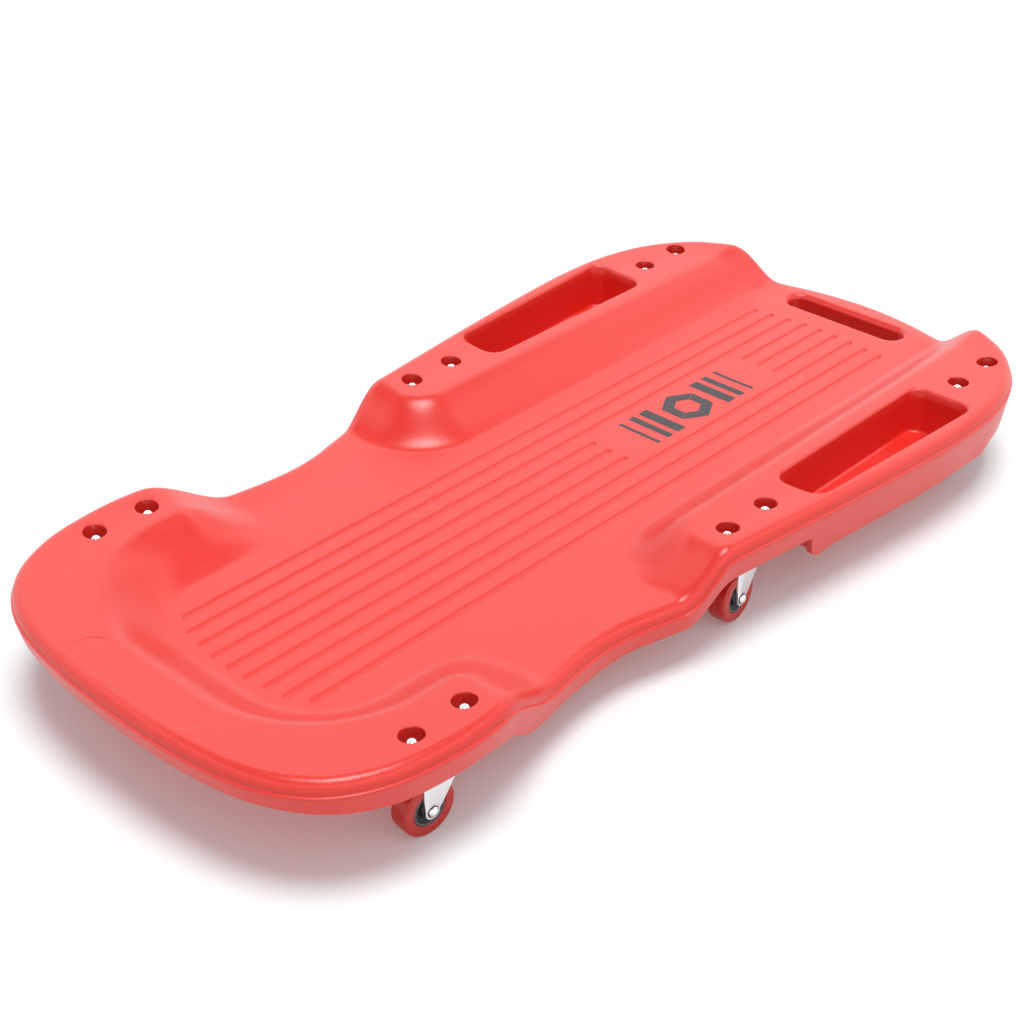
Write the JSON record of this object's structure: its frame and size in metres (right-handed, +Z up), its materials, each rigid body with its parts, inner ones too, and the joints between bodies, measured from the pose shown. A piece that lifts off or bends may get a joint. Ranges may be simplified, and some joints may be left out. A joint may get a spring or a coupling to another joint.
{
  "type": "mechanics creeper",
  "caption": "Low one-piece moulded creeper deck with raised headrest and side rails, two tool trays and a carrying slot, on swivel casters.",
  "frame": {"origin": "on the floor under the middle of the deck", "axes": "+Z up, +Y along the length towards the carrying slot, -Y towards the headrest, +X to the right of someone lying face up with the head at -Y"},
  "size_m": [0.5072, 1.016, 0.0992],
  "materials": {
    "deck_red": "satin, fine pebble grain",
    "tyre_red": "semi-gloss polyurethane",
    "hub_black": "moulded",
    "zinc": "zinc-plated pressed steel",
    "bolt_zinc": "bright zinc",
    "steel": "ground"
  },
  "bodies": {
    "root": {"deck": "deck_red", "deck_bolts": "bolt_zinc", "deck_washers": "bolt_zinc", "deck_nuts": "bolt_zinc", "head_left_plate": "zinc", "head_left_kingpin": "zinc", "head_left_balls": "steel", "head_right_plate": "zinc", "head_right_kingpin": "zinc", "head_right_balls": "steel", "middle_left_plate": "zinc", "middle_left_kingpin": "zinc", "middle_left_balls": "steel", "middle_right_plate": "zinc", "middle_right_kingpin": "zinc", "middle_right_balls": "steel", "foot_left_plate": "zinc", "foot_left_kingpin": "zinc", "foot_left_balls": "steel", "foot_right_plate": "zinc", "foot_right_kingpin": "zinc", "foot_right_balls": "steel"},
    "head_left_swivel": {"head_left_fork": "zinc", "head_left_axle": "bolt_zinc", "head_left_axle_nut": "bolt_zinc", "head_left_bushing": "steel"},
    "head_left_wheel": {"head_left_hub": "hub_black", "head_left_tyre": "tyre_red"},
    "head_right_swivel": {"head_right_fork": "zinc", "head_right_axle": "bolt_zinc", "head_right_axle_nut": "bolt_zinc", "head_right_bushing": "steel"},
    "head_right_wheel": {"head_right_hub": "hub_black", "head_right_tyre": "tyre_red"},
    "middle_left_swivel": {"middle_left_fork": "zinc", "middle_left_axle": "bolt_zinc", "middle_left_axle_nut": "bolt_zinc", "middle_left_bushing": "steel"},
    "middle_left_wheel": {"middle_left_hub": "hub_black", "middle_left_tyre": "tyre_red"},
    "middle_right_swivel": {"middle_right_fork": "zinc", "middle_right_axle": "bolt_zinc", "middle_right_axle_nut": "bolt_zinc", "middle_right_bushing": "steel"},
    "middle_right_wheel": {"middle_right_hub": "hub_black", "middle_right_tyre": "tyre_red"},
    "foot_left_swivel": {"foot_left_fork": "zinc", "foot_left_axle": "bolt_zinc", "foot_left_axle_nut": "bolt_zinc", "foot_left_bushing": "steel"},
    "foot_left_wheel": {"foot_left_hub": "hub_black", "foot_left_tyre": "tyre_red"},
    "foot_right_swivel": {"foot_right_fork": "zinc", "foot_right_axle": "bolt_zinc", "foot_right_axle_nut": "bolt_zinc", "foot_right_bushing": "steel"},
    "foot_right_wheel": {"foot_right_hub": "hub_black", "foot_right_tyre": "tyre_red"}
  },
  "joints": [
    {"name": "head_left_swivel_turn", "type": "hinge", "parent": "root", "child": "head_left_swivel", "pos_m": [-0.193, -0.352, 0.055], "axis": [0, 0, 1], "continuous": true},
    {"name": "head_left_wheel_spin", "type": "hinge", "parent": "head_left_swivel", "child": "head_left_wheel", "pos_m": [-0.19026, -0.36928, 0.0245], "axis": [0.9877, 0.1564, 0], "continuous": true},
    {"name": "head_right_swivel_turn", "type": "hinge", "parent": "root", "child": "head_right_swivel", "pos_m": [0.193, -0.352, 0.055], "axis": [0, 0, 1], "continuous": true},
    {"name": "head_right_wheel_spin", "type": "hinge", "parent": "head_right_swivel", "child": "head_right_wheel", "pos_m": [0.19178, -0.36946, 0.0245], "axis": [0.9976, -0.0698, 0], "continuous": true},
    {"name": "middle_left_swivel_turn", "type": "hinge", "parent": "root", "child": "middle_left_swivel", "pos_m": [-0.193, 0.02, 0.055], "axis": [0, 0, 1], "continuous": true},
    {"name": "middle_left_wheel_spin", "type": "hinge", "parent": "middle_left_swivel", "child": "middle_left_wheel", "pos_m": [-0.19664, 0.00288, 0.0245], "axis": [0.9781, -0.2079, 0], "continuous": true},
    {"name": "middle_right_swivel_turn", "type": "hinge", "parent": "root", "child": "middle_right_swivel", "pos_m": [0.193, 0.02, 0.055], "axis": [0, 0, 1], "continuous": true},
    {"name": "middle_right_wheel_spin", "type": "hinge", "parent": "middle_right_swivel", "child": "middle_right_wheel", "pos_m": [0.19453, 0.00257, 0.0245], "axis": [0.9962, 0.0872, 0], "continuous": true},
    {"name": "foot_left_swivel_turn", "type": "hinge", "parent": "root", "child": "foot_left_swivel", "pos_m": [-0.198, 0.383, 0.055], "axis": [0, 0, 1], "continuous": true},
    {"name": "foot_left_wheel_spin", "type": "hinge", "parent": "foot_left_swivel", "child": "foot_left_wheel", "pos_m": [-0.19617, 0.3656, 0.0245], "axis": [0.9945, 0.1045, 0], "continuous": true},
    {"name": "foot_right_swivel_turn", "type": "hinge", "parent": "root", "child": "foot_right_swivel", "pos_m": [0.198, 0.383, 0.055], "axis": [0, 0, 1], "continuous": true},
    {"name": "foot_right_wheel_spin", "type": "hinge", "parent": "foot_right_swivel", "child": "foot_right_wheel", "pos_m": [0.19556, 0.36567, 0.0245], "axis": [0.9903, -0.1392, 0], "continuous": true}
  ]
}
